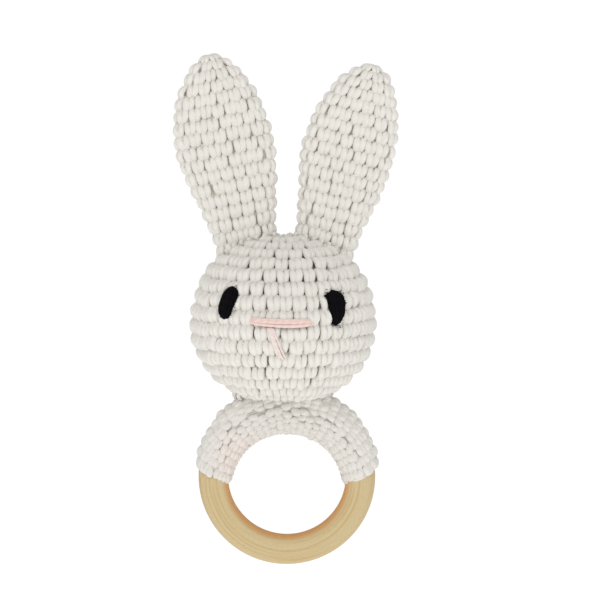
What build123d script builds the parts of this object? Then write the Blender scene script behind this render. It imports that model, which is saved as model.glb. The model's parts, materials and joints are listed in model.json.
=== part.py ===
from build123d import *
from math import cos, degrees, radians, sin, sqrt
import os

# Crocheted rabbit rattle on a wooden teething ring.
# Millimetres, +Z up, the face looks towards -Y, origin at the centre of the wooden ring.

# Wooden ring, turned from one piece, its axis along Y
RING_OUTER_R = 30.0
RING_INNER_R = 20.0
RING_EDGE_R = 3.9
RING_WIDTH = RING_OUTER_R - RING_INNER_R
RING_MID_R = (RING_OUTER_R + RING_INNER_R) / 2

# Crocheted sleeve, wrapped round the upper half of the ring and sewn shut along its inner side
SLEEVE_GAP = 0.25
SLEEVE_WALL = 1.55
SLEEVE_HALF = RING_WIDTH / 2 + SLEEVE_GAP + SLEEVE_WALL
SLEEVE_CORNER_R = 6.2
SLEEVE_OPENING_HEIGHT = 15.0
SLEEVE_SEAM_HALF_DEPTH = 4.5
SLEEVE_SEAM_OVERLAP = 1.0
SLEEVE_END_HEIGHT = 0.6
SLEEVE_END_SLOPE = 0.5
SLEEVE_SPAN_DEG = 204.0

# Head: a stuffed, flattened ball sewn on the top of the sleeve
HEAD_X = -1.3
HEAD_Z = 51.5
HEAD_R = 31.5
HEAD_UPPER = 31.2
HEAD_LOWER = 27.0
HEAD_UPPER_POWER = 2.2
HEAD_LOWER_POWER = 2.0
HEAD_BOTTOM_Z = 27.3
HEAD_WALL = 2.5
HEAD_OUTLINE_STEPS = (20, 38, 56, 73, 90)
HEAD_LOWER_SHARES = (0.35, 0.7, 1.0)

# Neck: the head rolls fore and aft round the middle of the sleeve's tube
NECK_Z = RING_MID_R
NECK_GROOVE_R = SLEEVE_HALF + 0.55
NECK_GROOVE_LENGTH = 60.0

# Ears: flat double layers, each with a thin pad inside, sewn along a line over the crown.
# x and z place the fold line's middle, slope and lean are degrees from level and upright.
EAR_HALF_THICKNESS = 4.0
EAR_BASE_HALF_WIDTH = 10.5
EAR_WIDEST = 0.5
EAR_FLARE = 0.2
EAR_EDGE_FILLET = 1.6
EAR_HEM = 3.4
EAR_PAD_HALF_THICKNESS = 1.0
EARS = {
    "left": {"x": -16.0, "z": 85.6, "slope": 9.0, "lean": 9.5, "length": 58.9, "half_width": 15.8},
    "right": {"x": 14.3, "z": 85.2, "slope": -12.0, "lean": -14.2, "length": 56.8, "half_width": 14.8},
}

# Rattle capsule in the middle of the head: a cup, a pressed-on lid and steel beads
CAPSULE_R = 12.0
CAPSULE_WALL = 1.2
CAPSULE_HEIGHT = 20.0
CAPSULE_EDGE_R = 2.5
CAPSULE_LAP_HEIGHT = 3.0
CAPSULE_SPLIT = 13.0
CAPSULE_BOTTOM_Z = HEAD_Z - CAPSULE_HEIGHT / 2
BEAD_R = 2.0
BEAD_COUNT = 6
BEAD_LANE_R = 6.0
BEAD_LIFT = 0.05

# Face: embroidered in yarn through the head cover
EYES = {
    "left": {"x": -19.0, "z": 61.0, "length": 11.7, "width": 4.6, "turn": 80.0},
    "right": {"x": 15.9, "z": 59.9, "length": 12.3, "width": 5.8, "turn": 112.0},
}
STITCH_OUT = 1.1
STITCH_ROUND_SHARE = 0.8
STITCH_IN = 1.6
NOSE_Z = 54.9
NOSE_LENGTH = 19.8
NOSE_HEIGHT = 3.0
NOSE_OUT = 0.9
MOUTH_X = -3.6
MOUTH_Z = 48.2
MOUTH_LENGTH = 10.0
MOUTH_WIDTH = 1.4
MOUTH_TURN = -75.0

# Sewing yarn along the seams
YARN_R = 0.65
SLEEVE_STITCHES = 17
NECK_STITCHES = 7
NECK_STITCH_LENGTH = 2.4
NECK_STITCH_SPREAD_DEG = 30.0
NECK_STITCH_DROP_DEG = 30.0
EAR_STITCHES = 6
EAR_STITCH_LENGTH = 1.7
EAR_STITCH_OUT = 5.6

os.makedirs("parts", exist_ok=True)


def head_radius(z, inset=0.0):
    """Radius of the head at height z, measured from its own upright axis."""
    height, power = (HEAD_UPPER, HEAD_UPPER_POWER) if z > HEAD_Z else (HEAD_LOWER, HEAD_LOWER_POWER)
    share = min(abs(z - HEAD_Z) / (height - inset), 1.0)
    return (HEAD_R - inset) * (1 - share**power) ** (1 / power)


def on_head(x, z):
    """Plane on the front of the head at (x, z), its normal pointing out of the head."""
    off = x - HEAD_X
    y = -sqrt(head_radius(z) ** 2 - off * off)
    height = HEAD_UPPER if z > HEAD_Z else HEAD_LOWER
    normal = Vector(off / HEAD_R**2, y / HEAD_R**2, (z - HEAD_Z) / height**2).normalized()
    across = Vector(0, 0, 1).cross(normal).normalized()
    return Plane(origin=(x, y, z), x_dir=across, z_dir=normal)


def ring_plane(angle):
    """Plane across the ring at an angle from +X towards +Z, its x axis pointing outwards."""
    turn = radians(angle)
    return Plane(origin=(0, 0, 0), x_dir=(cos(turn), 0, sin(turn)), z_dir=(-sin(turn), 0, cos(turn)))


def ear_plane(ear):
    """Plane of an ear: x along its fold line, y up the ear, z towards the front."""
    slope = radians(ear["slope"])
    return Plane(origin=(ear["x"], 0, ear["z"]), x_dir=(cos(slope), 0, sin(slope)), z_dir=(0, -1, 0))


# --- wooden ring -------------------------------------------------------------------------------

with BuildPart() as wooden_ring:
    with BuildSketch(Plane.XY):
        with Locations((RING_MID_R, 0)):
            RectangleRounded(RING_WIDTH, RING_WIDTH, RING_EDGE_R)
    revolve(axis=Axis.Y)
wooden_ring.part.label = "wooden_ring"
export_step(wooden_ring.part, "parts/wooden_ring.step")

# --- sleeve ------------------------------------------------------------------------------------

sleeve_start = 90 + SLEEVE_SPAN_DEG / 2
sleeve_inner_r = RING_MID_R - SLEEVE_HALF
sleeve_room = RING_WIDTH + 2 * SLEEVE_GAP
sleeve_end_drop = SLEEVE_END_SLOPE * RING_MID_R

with BuildPart() as ring_sleeve:
    with BuildSketch(ring_plane(sleeve_start)):
        with Locations((RING_MID_R, 0)):
            RectangleRounded(2 * SLEEVE_HALF, 2 * SLEEVE_HALF, SLEEVE_CORNER_R)
    revolve(axis=Axis.Y, revolution_arc=SLEEVE_SPAN_DEG)
    # the sewn edges sag inwards at the top of the finger hole
    with BuildSketch(Plane.XZ):
        Circle(sleeve_inner_r + SLEEVE_SEAM_OVERLAP)
        Ellipse(sleeve_inner_r, SLEEVE_OPENING_HEIGHT, mode=Mode.SUBTRACT)
        with Locations((0, -RING_OUTER_R)):
            Rectangle(4 * RING_OUTER_R, 2 * RING_OUTER_R, mode=Mode.SUBTRACT)
    extrude(amount=SLEEVE_SEAM_HALF_DEPTH, both=True)
    # room for the ring
    with BuildSketch(Plane.XY):
        with Locations((RING_MID_R, 0)):
            RectangleRounded(sleeve_room, sleeve_room, RING_EDGE_R + SLEEVE_GAP)
    revolve(axis=Axis.Y, mode=Mode.SUBTRACT)
    # both ends slope down towards the finger hole
    with BuildSketch(Plane.XZ):
        with BuildLine():
            Polyline(
                (0, SLEEVE_END_HEIGHT - sleeve_end_drop - RING_MID_R),
                (0, SLEEVE_END_HEIGHT - sleeve_end_drop),
                (2 * RING_MID_R, SLEEVE_END_HEIGHT + sleeve_end_drop),
                (2 * RING_MID_R, SLEEVE_END_HEIGHT - sleeve_end_drop - RING_MID_R),
                close=True,
            )
        make_face()
        mirror(about=Plane.YZ)
    extrude(amount=RING_OUTER_R, both=True, mode=Mode.SUBTRACT)
ring_sleeve.part.label = "ring_sleeve"
export_step(ring_sleeve.part, "parts/ring_sleeve.step")

# --- yarn that sews the sleeve shut ---------------------------------------------------------------

with BuildPart() as sleeve_seam_yarn:
    for stitch in range(SLEEVE_STITCHES):
        turn = radians(180 * (stitch + 0.5) / SLEEVE_STITCHES)
        x = (sleeve_inner_r - YARN_R / 2) * cos(turn)
        z = (SLEEVE_OPENING_HEIGHT - YARN_R / 2) * sin(turn)
        with Locations(Location((x, 0, z), (90, 0, 0))):
            Cylinder(YARN_R, SLEEVE_SEAM_HALF_DEPTH)
sleeve_seam_yarn.part.label = "sleeve_seam_yarn"
export_step(sleeve_seam_yarn.part, "parts/sleeve_seam_yarn.step")

# --- yarn that sews the head to the sleeve, front and back -----------------------------------------

with BuildPart() as neck_seam_yarn:
    for stitch in range(NECK_STITCHES):
        spread = NECK_STITCH_SPREAD_DEG * (2 * stitch / (NECK_STITCHES - 1) - 1)
        drop = radians(NECK_STITCH_DROP_DEG)
        reach = RING_MID_R - SLEEVE_HALF * sin(drop)
        for side in (-1, 1):
            x = reach * sin(radians(spread))
            z = reach * cos(radians(spread))
            with Locations(Location((x, side * SLEEVE_HALF * cos(drop), z), (0, spread, 0))):
                Cylinder(YARN_R, NECK_STITCH_LENGTH)
neck_seam_yarn.part.label = "neck_seam_yarn"
export_step(neck_seam_yarn.part, "parts/neck_seam_yarn.step")

# --- head --------------------------------------------------------------------------------------

head_axis = Axis((HEAD_X, 0, 0), (0, 0, 1))
neck_axis = Axis((0, 0, NECK_Z), (1, 0, 0))
head_plane = Plane(origin=(HEAD_X, 0, HEAD_Z), x_dir=(1, 0, 0), z_dir=(0, -1, 0))
neck_plane = Plane(origin=(0, 0, NECK_Z), x_dir=(0, 1, 0), z_dir=(1, 0, 0))


def head_profile(inset):
    """Closed half outline of the head, pulled in by inset, in head_plane."""
    top = HEAD_UPPER - inset
    bottom = HEAD_BOTTOM_Z + inset - HEAD_Z
    heights = [top * sin(radians(90 - step)) for step in HEAD_OUTLINE_STEPS]
    heights += [bottom * share for share in HEAD_LOWER_SHARES]
    outline = [Vector(head_radius(HEAD_Z + height, inset), height) for height in heights]
    side = Spline((0, top), *outline, tangents=((1, 0), outline[-1] - outline[-2]))
    Line(side @ 1, (0, bottom))
    Line((0, bottom), (0, top))


# the hollow of the head, saddled over the sleeve
with BuildPart() as head_hollow:
    with BuildSketch(head_plane):
        with BuildLine():
            head_profile(HEAD_WALL)
        make_face()
    revolve(axis=head_axis)
    with BuildSketch(neck_plane):
        Circle(NECK_GROOVE_R + HEAD_WALL)
    extrude(amount=NECK_GROOVE_LENGTH / 2, both=True, mode=Mode.SUBTRACT)

with BuildPart() as head_cover:
    with BuildSketch(head_plane):
        with BuildLine():
            head_profile(0)
        make_face()
    revolve(axis=head_axis)
    with BuildSketch(neck_plane):
        Circle(NECK_GROOVE_R)
    extrude(amount=NECK_GROOVE_LENGTH / 2, both=True, mode=Mode.SUBTRACT)
    add(head_hollow.part, mode=Mode.SUBTRACT)
head_cover.part.label = "head_cover"
export_step(head_cover.part, "parts/head_cover.step")

# --- rattle capsule ------------------------------------------------------------------------------

capsule_plane = Plane.XY.offset(CAPSULE_BOTTOM_Z)
capsule_split_z = CAPSULE_BOTTOM_Z + CAPSULE_SPLIT
capsule_lap_r = CAPSULE_R - CAPSULE_WALL / 2

with BuildPart() as capsule_outer:
    with BuildSketch(capsule_plane):
        with Locations((HEAD_X, 0)):
            Circle(CAPSULE_R)
    extrude(amount=CAPSULE_HEIGHT)
    fillet(capsule_outer.edges(), CAPSULE_EDGE_R)

with BuildPart() as capsule_inner:
    with BuildSketch(Plane.XY.offset(CAPSULE_BOTTOM_Z + CAPSULE_WALL)):
        with Locations((HEAD_X, 0)):
            Circle(CAPSULE_R - CAPSULE_WALL)
    extrude(amount=CAPSULE_HEIGHT - 2 * CAPSULE_WALL)
    fillet(capsule_inner.edges(), CAPSULE_EDGE_R - CAPSULE_WALL)

with BuildPart() as head_stuffing:
    add(head_hollow.part)
    add(capsule_outer.part, mode=Mode.SUBTRACT)
head_stuffing.part.label = "head_stuffing"
export_step(head_stuffing.part, "parts/head_stuffing.step")

# the cup keeps a thin lip inside, the lid's skirt laps over it
with BuildPart() as capsule_base:
    add(capsule_outer.part)
    add(capsule_inner.part, mode=Mode.SUBTRACT)
    with BuildSketch(Plane.XY.offset(capsule_split_z)):
        with Locations((HEAD_X, 0)):
            Circle(2 * CAPSULE_R)
    extrude(amount=CAPSULE_HEIGHT, mode=Mode.SUBTRACT)
    with BuildSketch(Plane.XY.offset(capsule_split_z - CAPSULE_LAP_HEIGHT)):
        with Locations((HEAD_X, 0)):
            Circle(2 * CAPSULE_R)
            Circle(capsule_lap_r, mode=Mode.SUBTRACT)
    extrude(amount=CAPSULE_LAP_HEIGHT, mode=Mode.SUBTRACT)
capsule_base.part.label = "capsule_base"
export_step(capsule_base.part, "parts/capsule_base.step")

with BuildPart() as capsule_lid:
    add(capsule_outer.part)
    add(capsule_inner.part, mode=Mode.SUBTRACT)
    with BuildSketch(capsule_plane):
        with Locations((HEAD_X, 0)):
            Circle(2 * CAPSULE_R)
    extrude(amount=CAPSULE_SPLIT - CAPSULE_LAP_HEIGHT, mode=Mode.SUBTRACT)
    with BuildSketch(Plane.XY.offset(capsule_split_z - CAPSULE_LAP_HEIGHT)):
        with Locations((HEAD_X, 0)):
            Circle(capsule_lap_r)
    extrude(amount=CAPSULE_LAP_HEIGHT, mode=Mode.SUBTRACT)
capsule_lid.part.label = "capsule_lid"
export_step(capsule_lid.part, "parts/capsule_lid.step")

# --- beads, resting on the capsule's floor ---------------------------------------------------------

bead_z = CAPSULE_BOTTOM_Z + CAPSULE_WALL + BEAD_R + BEAD_LIFT
for number in range(BEAD_COUNT):
    turn = radians(360 * number / BEAD_COUNT)
    bead_x = HEAD_X + BEAD_LANE_R * cos(turn)
    bead_y = BEAD_LANE_R * sin(turn)
    with BuildPart() as bead:
        with Locations((bead_x, bead_y, bead_z)):
            Sphere(BEAD_R)
    bead.part.label = f"bead_{number + 1}"
    export_step(bead.part, f"parts/bead_{number + 1}.step")

# --- face ----------------------------------------------------------------------------------------

for side, eye in EYES.items():
    with BuildPart() as eye_stitches:
        with BuildSketch(on_head(eye["x"], eye["z"]).offset(-STITCH_IN)):
            SlotOverall(eye["length"], eye["width"], rotation=eye["turn"])
        extrude(amount=STITCH_IN + STITCH_OUT)
        fillet(eye_stitches.faces().sort_by(Axis.Y)[0].edges(), STITCH_OUT * STITCH_ROUND_SHARE)
    eye_stitches.part.label = f"{side}_eye"
    export_step(eye_stitches.part, f"parts/{side}_eye.step")

nose_turn = degrees(NOSE_LENGTH / HEAD_R)
nose_start = radians(-90 + nose_turn / 2)
nose_r = head_radius(NOSE_Z) + NOSE_OUT
nose_section = Plane(
    origin=(HEAD_X, 0, NOSE_Z),
    x_dir=(cos(nose_start), sin(nose_start), 0),
    z_dir=(-sin(nose_start), cos(nose_start), 0),
)
with BuildPart() as nose_stitches:
    with BuildSketch(nose_section):
        with Locations((nose_r - (NOSE_OUT + STITCH_IN) / 2, 0)):
            RectangleRounded(NOSE_OUT + STITCH_IN, NOSE_HEIGHT, NOSE_OUT)
    revolve(axis=Axis((HEAD_X, 0, 0), (0, 0, -1)), revolution_arc=nose_turn)
nose_stitches.part.label = "nose_stitches"
export_step(nose_stitches.part, "parts/nose_stitches.step")

with BuildPart() as mouth_stitches:
    with BuildSketch(on_head(MOUTH_X, MOUTH_Z).offset(-STITCH_IN)):
        SlotOverall(MOUTH_LENGTH, MOUTH_WIDTH, rotation=MOUTH_TURN)
    extrude(amount=STITCH_IN + MOUTH_WIDTH / 2)
mouth_stitches.part.label = "mouth_stitches"
export_step(mouth_stitches.part, "parts/mouth_stitches.step")

# --- ears ----------------------------------------------------------------------------------------


def ear_outline(ear, inset=0.0):
    """Closed outline of an ear in its own plane, pulled in by inset, leaning by its own angle."""
    lean = radians(ear["lean"] - ear["slope"])
    base = EAR_BASE_HALF_WIDTH - inset
    wide = ear["half_width"] - inset
    length = ear["length"] - inset
    middle = EAR_WIDEST * ear["length"]
    shape = ((-wide, middle), (0, length), (wide, middle))
    turned = [(u * cos(lean) - v * sin(lean), u * sin(lean) + v * cos(lean)) for u, v in shape]
    side = Spline((-base, inset), *turned, (base, inset), tangents=((-EAR_FLARE, 1), (-EAR_FLARE, -1)))
    Line(side @ 1, side @ 0)


for side, ear in EARS.items():
    with BuildPart() as ear_padding:
        with BuildSketch(ear_plane(ear)):
            with BuildLine():
                ear_outline(ear, EAR_HEM)
            make_face()
        extrude(amount=EAR_PAD_HALF_THICKNESS, both=True)
    ear_padding.part.label = f"{side}_ear_padding"
    export_step(ear_padding.part, f"parts/{side}_ear_padding.step")

    with BuildPart() as ear_cover:
        with BuildSketch(ear_plane(ear)):
            with BuildLine():
                ear_outline(ear)
            make_face()
        extrude(amount=EAR_HALF_THICKNESS, both=True)
        rims = ear_cover.faces().filter_by(Axis.Y).edges().filter_by(GeomType.BSPLINE)
        fillet(rims, EAR_EDGE_FILLET)
        with BuildSketch(Plane(origin=(ear["x"], 0, ear["z"]), z_dir=ear_plane(ear).x_dir)):
            Circle(EAR_HALF_THICKNESS)
        extrude(amount=EAR_BASE_HALF_WIDTH, both=True)
        add(ear_padding.part, mode=Mode.SUBTRACT)
    ear_cover.part.label = f"{side}_ear_cover"
    export_step(ear_cover.part, f"parts/{side}_ear_cover.step")

    # whip stitches in front of and behind the ear's base
    with BuildPart() as ear_seam_yarn:
        for stitch in range(EAR_STITCHES):
            along = EAR_BASE_HALF_WIDTH * (2 * (stitch + 0.5) / EAR_STITCHES - 1)
            x = ear["x"] + along * cos(radians(ear["slope"]))
            for face_side in (-1, 1):
                y = face_side * EAR_STITCH_OUT
                off = x - HEAD_X
                flat = sqrt(off * off + y * y) / HEAD_R
                z = HEAD_Z + HEAD_UPPER * sqrt(1 - flat * flat)
                with Locations(Location((x, y, z), (90, 0, 0))):
                    Cylinder(YARN_R, EAR_STITCH_LENGTH)
    ear_seam_yarn.part.label = f"{side}_ear_seam_yarn"
    export_step(ear_seam_yarn.part, f"parts/{side}_ear_seam_yarn.step")
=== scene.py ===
import json
import math

import bpy
import numpy as np
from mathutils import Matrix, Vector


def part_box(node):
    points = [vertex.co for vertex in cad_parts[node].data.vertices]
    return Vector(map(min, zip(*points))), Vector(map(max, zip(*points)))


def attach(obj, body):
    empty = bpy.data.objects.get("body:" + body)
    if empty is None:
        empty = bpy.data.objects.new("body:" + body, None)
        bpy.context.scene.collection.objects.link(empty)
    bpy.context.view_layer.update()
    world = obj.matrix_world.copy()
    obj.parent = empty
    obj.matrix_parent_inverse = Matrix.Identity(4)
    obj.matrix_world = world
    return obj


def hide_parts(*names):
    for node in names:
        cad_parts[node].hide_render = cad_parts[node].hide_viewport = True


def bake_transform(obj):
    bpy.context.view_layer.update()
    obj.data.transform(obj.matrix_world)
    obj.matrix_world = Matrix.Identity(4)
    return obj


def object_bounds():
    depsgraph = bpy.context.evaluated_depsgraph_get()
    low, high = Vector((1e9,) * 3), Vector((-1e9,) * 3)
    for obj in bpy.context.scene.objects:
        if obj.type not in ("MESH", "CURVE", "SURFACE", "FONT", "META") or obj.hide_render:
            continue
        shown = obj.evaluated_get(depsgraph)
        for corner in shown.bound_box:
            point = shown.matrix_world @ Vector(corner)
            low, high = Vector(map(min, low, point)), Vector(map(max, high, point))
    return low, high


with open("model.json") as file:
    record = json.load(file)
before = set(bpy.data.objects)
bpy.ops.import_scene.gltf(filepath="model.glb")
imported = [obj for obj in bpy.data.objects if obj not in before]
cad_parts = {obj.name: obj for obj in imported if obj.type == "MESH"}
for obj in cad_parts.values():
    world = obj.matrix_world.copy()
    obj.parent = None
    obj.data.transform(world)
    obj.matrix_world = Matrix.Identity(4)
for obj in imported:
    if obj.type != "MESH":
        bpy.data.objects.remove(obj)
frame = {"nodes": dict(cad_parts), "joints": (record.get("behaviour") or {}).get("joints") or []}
cad_low, cad_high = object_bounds()

MM = 0.001
RNG = np.random.default_rng(20)

# --- yarn and stitches ----------------------------------------------------------------------------

# Tubes: sides, points along each leg and loop of a stitch, and how far a tube's end bulges.
TUBE_SIDES = 8
LEG_POINTS = 8
LOOP_POINTS = 4
TUBE_END = 0.7
# A full-sized stitch, its yarn, and how far its parts dip under the cloth and arch over it.
STITCH_WIDTH = 4.5 * MM
ROW_HEIGHT = 4.95 * MM
LEG_RADIUS = 1.36 * MM
LOOP_RADIUS = 1.0 * MM
LEG_END_SUNK = 1.75 * MM
LEG_ARCH = 2.45 * MM
LOOP_SUNK = 1.35 * MM
LOOP_ARCH = 0.15 * MM
# Where in a stitch, as a share of its width, the two legs start and end, and the loop's half length.
LEG_SPREAD_LOW = 0.165
LEG_SPREAD_GAIN = 0.085
LOOP_REACH = 0.56
LARGEST_STITCH = 1.12
# Unevenness: of a stitch's place, height, yarn thickness, height in mm over the cloth, and lean.
UNEVEN_PLACE = 0.035
UNEVEN_RISE = 0.035
UNEVEN_SWELL = 0.05
UNEVEN_PROUD = 0.13
UNEVEN_LEAN = 0.035
UNEVEN_LOOP = 0.3
LEAN = 0.03
LEG_STAGGER = 0.025
# The cloth's middle lies this far inside its outline; ABOVE is a short way out of the cloth.
CLOTH_OUT = 1.75 * MM
ABOVE = 0.5 * MM

# --- where the frame says that things are ---------------------------------------------------------

head_low, head_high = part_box("head_cover")
HEAD_X = (head_low.x + head_high.x) / 2
HEAD_R = (head_high.x - head_low.x) / 2
HEAD_TOP = head_high.z
HEAD_BOTTOM = head_low.z
# The head's height above and below its widest round, as shares of its radius.
HEAD_UPPER_SHARE = 0.99
HEAD_LOWER_SHARE = 0.857
HEAD_WIDEST = head_high.z - HEAD_UPPER_SHARE * HEAD_R
ring_low, ring_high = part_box("wooden_ring")
RING_OUTER_R = (ring_high.x - ring_low.x) / 2
RING_INNER_R = 2 / 3 * RING_OUTER_R
RING_MID_R = (RING_OUTER_R + RING_INNER_R) / 2
JOINTS = {joint["name"]: joint for joint in frame["joints"]}


def unit(vectors):
    """Vectors scaled to length one along their last axis."""
    return vectors / np.maximum(np.linalg.norm(vectors, axis=-1, keepdims=True), 1e-12)


def smooth(x):
    """Smooth step from 0 to 1."""
    x = np.clip(x, 0, 1)
    return x * x * (3 - 2 * x)


# --- tubes ----------------------------------------------------------------------------------------


def tubes(paths, outs, radii, flat=1.0):
    """Vertices, faces and yarn coordinates of closed tubes.

    paths is (tube, point, 3), outs points out of the cloth at each point, radii is (tube, point),
    and flat squeezes the section towards the cloth.
    """
    count, points, _ = paths.shape
    along = unit(np.gradient(paths, axis=1))
    side = unit(np.cross(along, outs))
    out = np.cross(side, along)
    turn = 2 * np.pi * np.arange(TUBE_SIDES) / TUBE_SIDES
    across = (
        np.cos(turn)[None, None, :, None] * out[:, :, None] * flat
        + np.sin(turn)[None, None, :, None] * side[:, :, None]
    )
    rings = paths[:, :, None] + radii[:, :, None, None] * across
    poles = np.stack(
        [
            paths[:, 0] - along[:, 0] * radii[:, 0, None] * TUBE_END,
            paths[:, -1] + along[:, -1] * radii[:, -1, None] * TUBE_END,
        ],
        axis=1,
    )
    vertices = np.concatenate([rings.reshape(count, -1, 3), poles], axis=1)
    per_tube = points * TUBE_SIDES + 2

    ring, step = np.meshgrid(np.arange(points - 1), np.arange(TUBE_SIDES), indexing="ij")
    after = (step + 1) % TUBE_SIDES
    low, high = ring * TUBE_SIDES, (ring + 1) * TUBE_SIDES
    quads = np.stack([low + step, high + step, high + after, low + after], axis=-1).reshape(-1, 4)
    step, after = np.arange(TUBE_SIDES), (np.arange(TUBE_SIDES) + 1) % TUBE_SIDES
    last = (points - 1) * TUBE_SIDES
    start_cap = np.stack([step, after, np.full(TUBE_SIDES, per_tube - 2)], axis=-1)
    end_cap = np.stack([last + after, last + step, np.full(TUBE_SIDES, per_tube - 1)], axis=-1)
    offsets = (np.arange(count) * per_tube)[:, None, None]
    quads = (quads[None] + offsets).reshape(-1, 4)
    triangles = (np.concatenate([start_cap, end_cap])[None] + offsets).reshape(-1, 3)

    steps = np.linalg.norm(np.diff(paths, axis=1), axis=-1)
    distance = np.concatenate([np.zeros((count, 1)), np.cumsum(steps, axis=1)], axis=1)
    yarn = np.zeros((count, per_tube, 3))
    yarn[:, :-2, 0] = np.tile(np.cos(turn), points)
    yarn[:, :-2, 1] = np.tile(np.sin(turn), points)
    yarn[:, :-2, 2] = np.repeat(distance, TUBE_SIDES, axis=1)
    yarn[:, -1, 2] = distance[:, -1]
    strand = np.repeat(RNG.random(count), per_tube)
    return vertices.reshape(-1, 3), quads, triangles, yarn.reshape(-1, 3), strand


def new_piece(name, mesh, material):
    """An object with one material, in the scene."""
    piece = bpy.data.objects.new(name, mesh)
    bpy.context.scene.collection.objects.link(piece)
    piece.data.materials.append(material)
    return piece


def mesh_piece(name, parts, material):
    """One smooth object from several sets of tubes."""
    vertices, quads, triangles, yarns, strands = [], [], [], [], []
    total = 0
    for points, four, three, yarn, strand in parts:
        vertices.append(points)
        quads.append(four + total)
        triangles.append(three + total)
        yarns.append(yarn)
        strands.append(strand)
        total += len(points)
    vertices, quads, triangles = map(np.concatenate, (vertices, quads, triangles))
    mesh = bpy.data.meshes.new(name)
    mesh.vertices.add(len(vertices))
    mesh.vertices.foreach_set("co", vertices.astype(np.float32).ravel())
    loops = np.concatenate([quads.ravel(), triangles.ravel()])
    sizes = np.concatenate([np.full(len(quads), 4), np.full(len(triangles), 3)])
    mesh.loops.add(len(loops))
    mesh.loops.foreach_set("vertex_index", loops.astype(np.int32))
    mesh.polygons.add(len(sizes))
    starts = np.concatenate([[0], np.cumsum(sizes)[:-1]])
    mesh.polygons.foreach_set("loop_start", starts.astype(np.int32))
    mesh.polygons.foreach_set("use_smooth", np.ones(len(sizes), bool))
    yarn = mesh.attributes.new("yarn", "FLOAT_VECTOR", "POINT")
    yarn.data.foreach_set("vector", np.concatenate(yarns).astype(np.float32).ravel())
    strand = mesh.attributes.new("strand", "FLOAT", "POINT")
    strand.data.foreach_set("value", np.concatenate(strands).astype(np.float32))
    mesh.update(calc_edges=True)
    mesh.validate()
    return new_piece(name, mesh, material)


def closed_grid(name, rings, material):
    """A closed smooth object from rings of points, (ring, point, 3), capped at both ends."""
    count, points, _ = rings.shape
    vertices = np.concatenate([rings.reshape(-1, 3), rings[0].mean(0)[None], rings[-1].mean(0)[None]])
    faces = []
    for ring in range(count - 1):
        for step in range(points):
            after = (step + 1) % points
            low, high = ring * points, (ring + 1) * points
            faces.append((low + step, low + after, high + after, high + step))
    first, last = count * points, count * points + 1
    for step in range(points):
        after = (step + 1) % points
        faces.append((after, step, first))
        faces.append(((count - 1) * points + step, (count - 1) * points + after, last))
    mesh = bpy.data.meshes.new(name)
    mesh.from_pydata(vertices.tolist(), [], faces)
    mesh.polygons.foreach_set("use_smooth", np.ones(len(mesh.polygons), bool))
    mesh.update()
    return new_piece(name, mesh, material)


# --- crochet --------------------------------------------------------------------------------------


def crochet(
    place, rows, leg=LEG_RADIUS, loop=LOOP_RADIUS, flat=1.0, depth=1.0, loose=1.0, least=0.55, turned=False
):
    """Single crochet over a surface: a V of two fat legs per stitch, and a sunken loop between rows.

    place(across, down, out) gives points of the surface, raised by out. rows is a list of
    (top, bottom, first, last, count): where each row lies down the surface, the span it covers
    across it and its stitches. leg and loop are yarn radii, flat squeezes the yarn, depth scales
    the relief, loose scales the unevenness and least is the smallest share that a stitch shrinks to.
    Where the work was turned, every other row is upside down.
    """
    t = np.linspace(0, 1, LEG_POINTS)
    leg_out = (LEG_ARCH * np.sin(np.pi * (0.04 + 0.92 * t)) ** 0.7 - LEG_END_SUNK) * depth
    leg_size = 0.74 + 0.26 * np.sin(np.pi * np.clip(0.10 + 0.85 * t, 0, 1))
    leg_up = 0.02 + 0.96 * t
    leg_spread = LEG_SPREAD_LOW + LEG_SPREAD_GAIN * smooth(t * 1.2)
    parts = []
    for number, (top, bottom, first, last, count) in enumerate(rows):
        height = bottom - top
        pitch = (last - first) / count
        centre = first + pitch * (np.arange(count) + 0.5)
        centre = centre + RNG.normal(0, UNEVEN_PLACE * loose, count) * pitch
        level = np.zeros(count)
        upper, lower = (place(centre, np.full(count, edge), level) for edge in (top, bottom))
        tall = np.linalg.norm(upper - lower, axis=-1)
        middle = np.full(count, (top + bottom) / 2)
        left, right = (place(centre + half * pitch, middle, level) for half in (-0.5, 0.5))
        wide = np.linalg.norm(left - right, axis=-1)
        size = np.clip(np.minimum(wide / STITCH_WIDTH, 1.15 * tall / ROW_HEIGHT), least, LARGEST_STITCH)
        rise = RNG.normal(0, UNEVEN_RISE * loose, count)
        swell = 1 + RNG.normal(0, UNEVEN_SWELL * loose, (count, 2))
        proud = RNG.normal(0, UNEVEN_PROUD * loose, (count, 2)) * MM
        lean = RNG.normal(LEAN, UNEVEN_LEAN * loose, count)
        for which, side in enumerate((-1, 1)):
            across = centre[:, None] + pitch * (side * leg_spread[None] + lean[:, None] * (t - 0.5)[None])
            up = leg_up[None] + rise[:, None] + side * LEG_STAGGER
            if turned and number % 2:
                up = 1 - up
            down = bottom - up * height
            out = leg_out[None] * size[:, None] + proud[:, which, None]
            path = place(across, down, out)
            above = place(across, down, out + ABOVE)
            radius = leg * (swell[:, which] * size)[:, None] * leg_size[None]
            parts.append(tubes(path, unit(above - path), radius, flat))
        q = np.linspace(-LOOP_REACH, LOOP_REACH, LOOP_POINTS)
        across = centre[:, None] + pitch * q[None]
        down = np.full_like(across, bottom) + RNG.normal(0, 0.03, (count, 1)) * height
        sunk = -LOOP_SUNK * depth - np.abs(RNG.normal(0, UNEVEN_LOOP * loose, (count, 1))) * MM
        out = sunk + LOOP_ARCH * np.cos(np.pi * q)[None]
        path = place(across, down, out)
        above = place(across, down, out + ABOVE)
        radius = np.broadcast_to(loop * size[:, None], path.shape[:2])
        parts.append(tubes(path, unit(above - path), radius, flat))
    return parts


# --- materials ------------------------------------------------------------------------------------

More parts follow.
